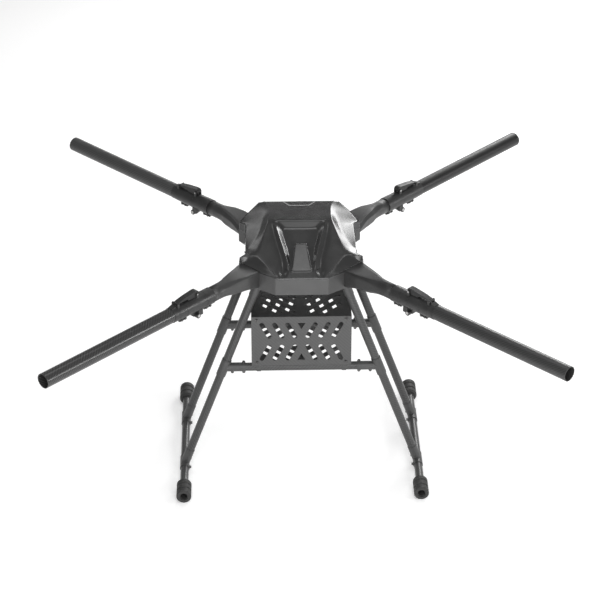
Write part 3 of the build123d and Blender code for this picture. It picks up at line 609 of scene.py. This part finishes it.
def cage_index(row, column, sign):
    """Number of a cage point: columns count from the middle, to the right or the left."""
    columns = len(COVER_COLUMNS)
    return (row + 1) * (2 * columns - 1) + columns - 1 + sign * column


def mark_creases(mesh):
    """Gives the cage its crisp edges and corners."""
    sharp = {}
    for (r0, c0), (r1, c1), value in cover_creases():
        for sign in BODY_SIDES.values():
            sharp[frozenset((cage_index(r0, c0, sign), cage_index(r1, c1, sign)))] = value
    crease = mesh.attributes.new("crease_edge", "FLOAT", "EDGE")
    for edge in mesh.edges:
        crease.data[edge.index].value = sharp.get(frozenset(edge.vertices), 0.0)
    corner = mesh.attributes.new("crease_vert", "FLOAT", "POINT")
    for row, column in COVER_CORNERS:
        for sign in BODY_SIDES.values():
            corner.data[cage_index(row, COVER_COLUMNS.index(column), sign)].value = 1.0


def top_cover(material):
    """Cover shell grown from a mirrored cage of its feature lines."""
    half = [rear_foot_row()] + [cover_row(r) for r in range(len(ROW_Y))]
    verts = []
    for row in half:
        verts += [(-x, y, ARM_Z + z) for x, y, z in reversed(row[1:])]
        verts += [(x, y, ARM_Z + z) for x, y, z in row]
    faces = [tuple(reversed(f)) for f in grid_faces(len(half), 2 * len(COVER_COLUMNS) - 1)]
    piece = new_piece("top_cover_shell", verts, faces, material)
    mark_creases(piece.data)
    weld(piece)
    apply_modifiers(subdivide(piece, COVER_SUBDIVISION))
    return clean(apply_modifiers(thicken(piece, COVER_WALL)))


# ---------------------------------------------------------------- lips on the cover
LIP_STEPS = 10                  # samples along each stretch of a lip
LIP_TAPER = 2                   # samples over which its ends rise
LIP_FALL = 1.8                  # drop of a lip's toe that stands beyond the cover's edge
LIP_ROOT = 1.2                  # how deep a lip reaches into the cover's wall
LIP_HEEL = 0.12                 # reach of the steep side, as a part of the long side's
LIP_EDGE = 0.05                 # lifts the crest clear of the cover and sinks the toe into it


def surface_height(surface, x, y, otherwise):
    """Height of the cover's outside over a point of the plan, or the given height where there is none."""
    hit = surface.ray_cast(Vector((x, y, 1000)) * MM, Vector((0, 0, -1)))[0]
    return otherwise if hit is None else hit.z / MM


def lip(name, path, height, surface, material):
    """Moulded lip lying on the cover: a wedge with its crest over a plan line.

    The path holds (x, y, slide x, slide y): the crest's place and how far its long side slides away."""
    knots = [lerp(a, b, k / LIP_STEPS) for a, b in zip(path, path[1:]) for k in range(LIP_STEPS)]
    knots.append(path[-1])
    rings = []
    for i, (x, y, slide_x, slide_y) in enumerate(knots):
        taper = min(i, len(knots) - 1 - i, LIP_TAPER) / LIP_TAPER
        crest = surface_height(surface, x, y, 0)
        toe = surface_height(surface, x + slide_x, y + slide_y, crest - LIP_FALL)
        rings.append([(x - slide_x * LIP_HEEL, y - slide_y * LIP_HEEL, crest - LIP_ROOT),
                      (x, y, crest + height * taper + LIP_EDGE),
                      (x + slide_x, y + slide_y, toe - LIP_EDGE),
                      (x + slide_x, y + slide_y, toe - LIP_ROOT)])
    verts = [point for ring in rings for point in ring]
    return clean(new_piece(name, verts, skin(len(rings), len(rings[0])), material, smooth=False))


def cover_lips(cover, material):
    """Fine raised lips: round the deck recess, along the nose-to-shoulder creases and the block's edges."""
    bm = bmesh.new()
    bm.from_mesh(cover.data)
    surface = BVHTree.FromBMesh(bm)
    bm.free()
    deck = [(-43.4, 129, 2.49, 2.01), (-24, 105, 1.53, 3.2)]
    deck += [(-x, y, -slide_x, slide_y) for x, y, slide_x, slide_y in reversed(deck)]
    pieces = [lip("deck_recess_lip", deck, 0.45, surface, material)]
    for word, side in BODY_SIDES.items():
        crease = [(side * 104.5, -83.5, -side * 1.74, -0.96), (side * 53.8, -153.8, -side * 1.74, -0.96)]
        pieces.append(lip("shoulder_lip_" + word, crease, 0.9, surface, material))
        edge = [(side * 12.4, -52.5, -side * 1.5, 0), (side * 22.4, -130.4, -side * 1.5, 0)]
        pieces.append(lip("block_lip_" + word, edge, 0.55, surface, material))
    nose = [(-59.5, -154.4, 0, -1.2), (59.5, -154.4, 0, -1.2)]
    pieces.append(lip("nose_lip", nose, 0.7, surface, material))
    foot = [(-22, -131.2, 0, -1.1), (22, -131.2, 0, -1.1)]
    pieces.append(lip("block_foot_lip", foot, 0.4, surface, material))
    return pieces


def on_airframe(piece, slot_name, *nodes):
    """Puts a drawn piece on the airframe in place of CAD nodes; slot_name is not used."""
    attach(piece, "airframe")
    if nodes:
        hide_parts(*nodes)
    return piece


# ---------------------------------------------------------------- finish of the CAD nodes
UP = (0, 0, 1)
ARM_TUBE_R, GEAR_TUBE_R = 17.5, 10.0


def paint(node, material):
    """Gives a CAD node one material."""
    piece = NODES[node]
    piece.data.materials.clear()
    piece.data.materials.append(material)


def node_axis(node):
    """Middle point of a straight tube node, and the diagonal of its box, which has the tube's direction."""
    low, high = frame_mm(node)
    return (low + high) / 2, high - low


def paint_arm_tubes(arm_light_and_shade):
    """Each arm tube's weave is laid along its own axis; the argument holds tone and roughness by arm, and
    those tones are painted light and shade, each arm's carbon lighter or darker for how light falls on it.
    """
    for name in ARMS:
        along = arm_direction(name)
        paint("arm_tube_" + name,
              carbon_tube("arm_carbon_" + name, (0, 0, ARM_Z), along, UP, ARM_TUBE_R, *arm_light_and_shade[name]))


def paint_gear_tubes(tone):
    """Weave along each leg, cross and skid tube."""
    for corner in ARMS:
        middle, size = node_axis("leg_tube_" + corner)
        side = 1 if corner.endswith("right") else -1
        along = Vector((side * size.x, 0, -size.z)).normalized()
        paint("leg_tube_" + corner,
              carbon_tube("leg_carbon_" + corner, middle, along, (0, 1, 0), GEAR_TUBE_R, tone))
    for node, along in (("cross_tube_front", (1, 0, 0)), ("cross_tube_rear", (1, 0, 0)),
                        ("skid_tube_left", (0, 1, 0)), ("skid_tube_right", (0, 1, 0))):
        paint(node, carbon_tube("carbon_" + node, node_axis(node)[0], along, UP, GEAR_TUBE_R, tone))


ARM_TUBE_LIGHT_AND_SHADE = {      # painted light and shade: by arm, a tone made lighter or darker for how light falls on that arm, then a roughness
    "front_right": (0.03, 0.36), "rear_right": (0.012, 0.36), "rear_left": (0.05, 0.36),
    "front_left": (0.034, 0.2),
}
GEAR_TONE = 0.045
ROOT_TONE, ROOT_ROUGHNESS = 0.033, 0.42
ROOT_SPECULAR = {"front_right": 0.2, "rear_right": 0.5, "rear_left": 0.5, "front_left": 0.5}

cover_plastic = moulded("cover_plastic", 0.026, 0.2, grain=1100.0, edge=0.8)
hull_plastic = moulded("hull_plastic", 0.045, 0.42, grain=1000.0)
root_plastic = moulded("root_plastic", 0.05, 0.40, grain=1000.0, edge=0.6)
nylon = moulded("fitting_nylon", 0.042, 0.45, grain=1600.0)
collar_black = anodised("collar_anodised", 0.035)
latch_black = anodised("latch_anodised", 0.02, 0.42)
black_screw = steel("black_oxide_screw", 0.10, 0.42)
pin_steel = steel("bright_pin_steel", 0.45, 0.28)
post_alloy = anodised("standoff_alloy", 0.25, 0.3)
sleeve_rubber = rubber("sleeve_rubber", 0.03)
plan_carbon = carbon_sheet("carbon_plate_flat", (1, 0, 0), (0, 1, 0), 0.02)
# painted shade: the bay's top plate gets a darker, duller copy of the carbon for the shadow the body casts
# on it
shaded_bay_carbon = carbon_sheet("carbon_bay_plate_painted_shade", (1, 0, 0), (0, 1, 0), 0.012, roughness=0.5, coat=0.0,
                          specular=0.15)
wall_carbon = carbon_sheet("carbon_plate_upright", (1, 0, 0), (0, 0, 1), 0.045)
bracket_carbon = carbon_sheet("carbon_bracket", (0, 1, 0), (0.7, 0, 0.7), 0.03)
board_green = circuit_board("board_lacquer")

FINISHES = {
    "lower_hull": hull_plastic, "top_cover": cover_plastic, "cover_screws": black_screw,
    "lower_centre_plate": plan_carbon, "upper_centre_plate": plan_carbon, "plate_standoffs": post_alloy,
    "plate_bolts": black_screw, "power_board": board_green, "keeper_pins": pin_steel,
    "hinge_pins": pin_steel, "root_clamp_bolts": black_screw, "leg_sockets": nylon, "cross_tees": nylon,
    "skid_tees": nylon, "gear_bolts": black_screw, "bay_wall_front": wall_carbon,
    "bay_wall_rear": wall_carbon, "skid_sleeves_left": sleeve_rubber,
    "skid_sleeves_right": sleeve_rubber, "bay_floor": plan_carbon,
    "bay_top": shaded_bay_carbon, "bay_brackets": bracket_carbon, "bay_clamps": nylon, "bay_screws": black_screw,
}
for node, material in FINISHES.items():
    paint(node, material)
for name in ARMS:
    for part, material in (("arm_root_", root_plastic), ("fixed_collar_", collar_black),
                           ("folding_collar_", collar_black), ("latch_lever_", latch_black),
                           ("lever_pin_", black_screw), ("arm_clamp_bolts_", black_screw)):
        paint(part + name, material)
paint_arm_tubes(ARM_TUBE_LIGHT_AND_SHADE)
paint_gear_tubes(GEAR_TONE)

cover = on_airframe(top_cover(cover_plastic), "cover_shell", "top_cover")
for piece in cover_lips(cover, cover_plastic):
    on_airframe(piece, "cover_shell")
for name in ARMS:
    moulding = root_skin("root_skin_" + name, ROOT_TONE, ROOT_ROUGHNESS, ROOT_SPECULAR[name], name)
    on_airframe(arm_root(name, moulding), "arm_root_moulding", "arm_root_" + name)


# ---------------------------------------------------------------- floor, light and camera
FLOOR_HALF, FLOOR_Z = 12000, -0.5        # the floor's half width and its height, in mm
FLOOR_GLOW = 0.25
ROOM_GLOW = 0.27
AIM = Vector((0, 0, 0.55))       # the lights face this point, in metres
LIGHTS = [       # name, azimuth, elevation, width, height, radiance, distance where it isn't the usual one
    ("right_softbox", 28, 21.5, 1.45, 0.85, 10.0),
    ("right_horizon", 9, 13.5, 1.9, 0.65, 4.0),
    ("floor_bounce", 180, -27, 1.2, 0.5, 3.0, 1.15),
    ("rear_left_softbox", -30, 27, 0.7, 0.5, 2.0),
    ("overhead", 0, 78, 1.6, 1.2, 3.0),
    ("front_high", 180, 60, 2.0, 1.2, 1.9),
    ("front_low", 180, 25, 2.5, 1.2, 6.0),
    ("side_strip", 103, 9.5, 1.6, 0.5, 14.0),
]
CAMERA_PLACE = (-0.1187, -4.7165, 3.207)
CAMERA_TARGET = (-0.0023, -0.0618, 0.4564)
CAMERA_LENS = 136.62


def floor(glow):
    """Pale floor that glows a little, so that it shows white."""
    corners = [(x * FLOOR_HALF, y * FLOOR_HALF, FLOOR_Z) for x, y in ((-1, -1), (1, -1), (1, 1), (-1, 1))]
    material = new_material("pale_floor", (0.9, 0.9, 0.9), 0.9, specular=0.0)
    shader = material.node_tree.nodes["Principled BSDF"]
    shader.inputs["Emission Color"].default_value = (1, 1, 1, 1)
    shader.inputs["Emission Strength"].default_value = glow
    new_piece("studio_floor", corners, [(0, 1, 2, 3)], material, smooth=False)


def white_room(glow):
    """Even light from all round; the room itself shows plain white."""
    world = bpy.data.worlds.new("white_room")
    world.use_nodes = True
    bpy.context.scene.world = world
    tree = world.node_tree
    tree.nodes.clear()
    out = tree.nodes.new("ShaderNodeOutputWorld")
    path = tree.nodes.new("ShaderNodeLightPath")
    mix = tree.nodes.new("ShaderNodeMixShader")
    tree.links.new(path.outputs["Is Camera Ray"], mix.inputs[0])
    for index, strength in ((1, glow), (2, 1.0)):
        background = tree.nodes.new("ShaderNodeBackground")
        background.inputs["Color"].default_value = (1, 1, 1, 1)
        background.inputs["Strength"].default_value = strength
        tree.links.new(background.outputs[0], mix.inputs[index])
    tree.links.new(mix.outputs[0], out.inputs["Surface"])


def softbox(name, azimuth, elevation, width, height, radiance, distance=3.2):
    """Rectangular light, in degrees and metres; azimuth 0 is behind the object, positive to the right."""
    a, e = radians(azimuth), radians(elevation)
    away = Vector((sin(a) * cos(e), cos(a) * cos(e), sin(e)))
    light = bpy.data.lights.new(name, "AREA")
    light.shape = "RECTANGLE"
    light.size, light.size_y = width, height
    light.energy = radiance * pi * width * height
    lamp = bpy.data.objects.new(name, light)
    lamp.location = AIM + away * distance
    lamp.rotation_euler = away.to_track_quat("Z", "Y").to_euler()
    bpy.context.scene.collection.objects.link(lamp)
    return lamp


def camera(location, target, lens):
    """Adds the camera, turned to its target, and makes it the scene's."""
    data = bpy.data.cameras.new("camera")
    data.lens = lens
    data.sensor_width = 36.0
    data.clip_end = 60.0
    piece = bpy.data.objects.new("camera", data)
    piece.location = location
    piece.rotation_euler = (Vector(location) - Vector(target)).to_track_quat("Z", "Y").to_euler()
    bpy.context.scene.collection.objects.link(piece)
    bpy.context.scene.camera = piece


bpy.context.scene.view_settings.view_transform = "Standard"
floor(FLOOR_GLOW)
white_room(ROOM_GLOW)
for light in LIGHTS:
    softbox(*light)
camera(CAMERA_PLACE, CAMERA_TARGET, CAMERA_LENS)
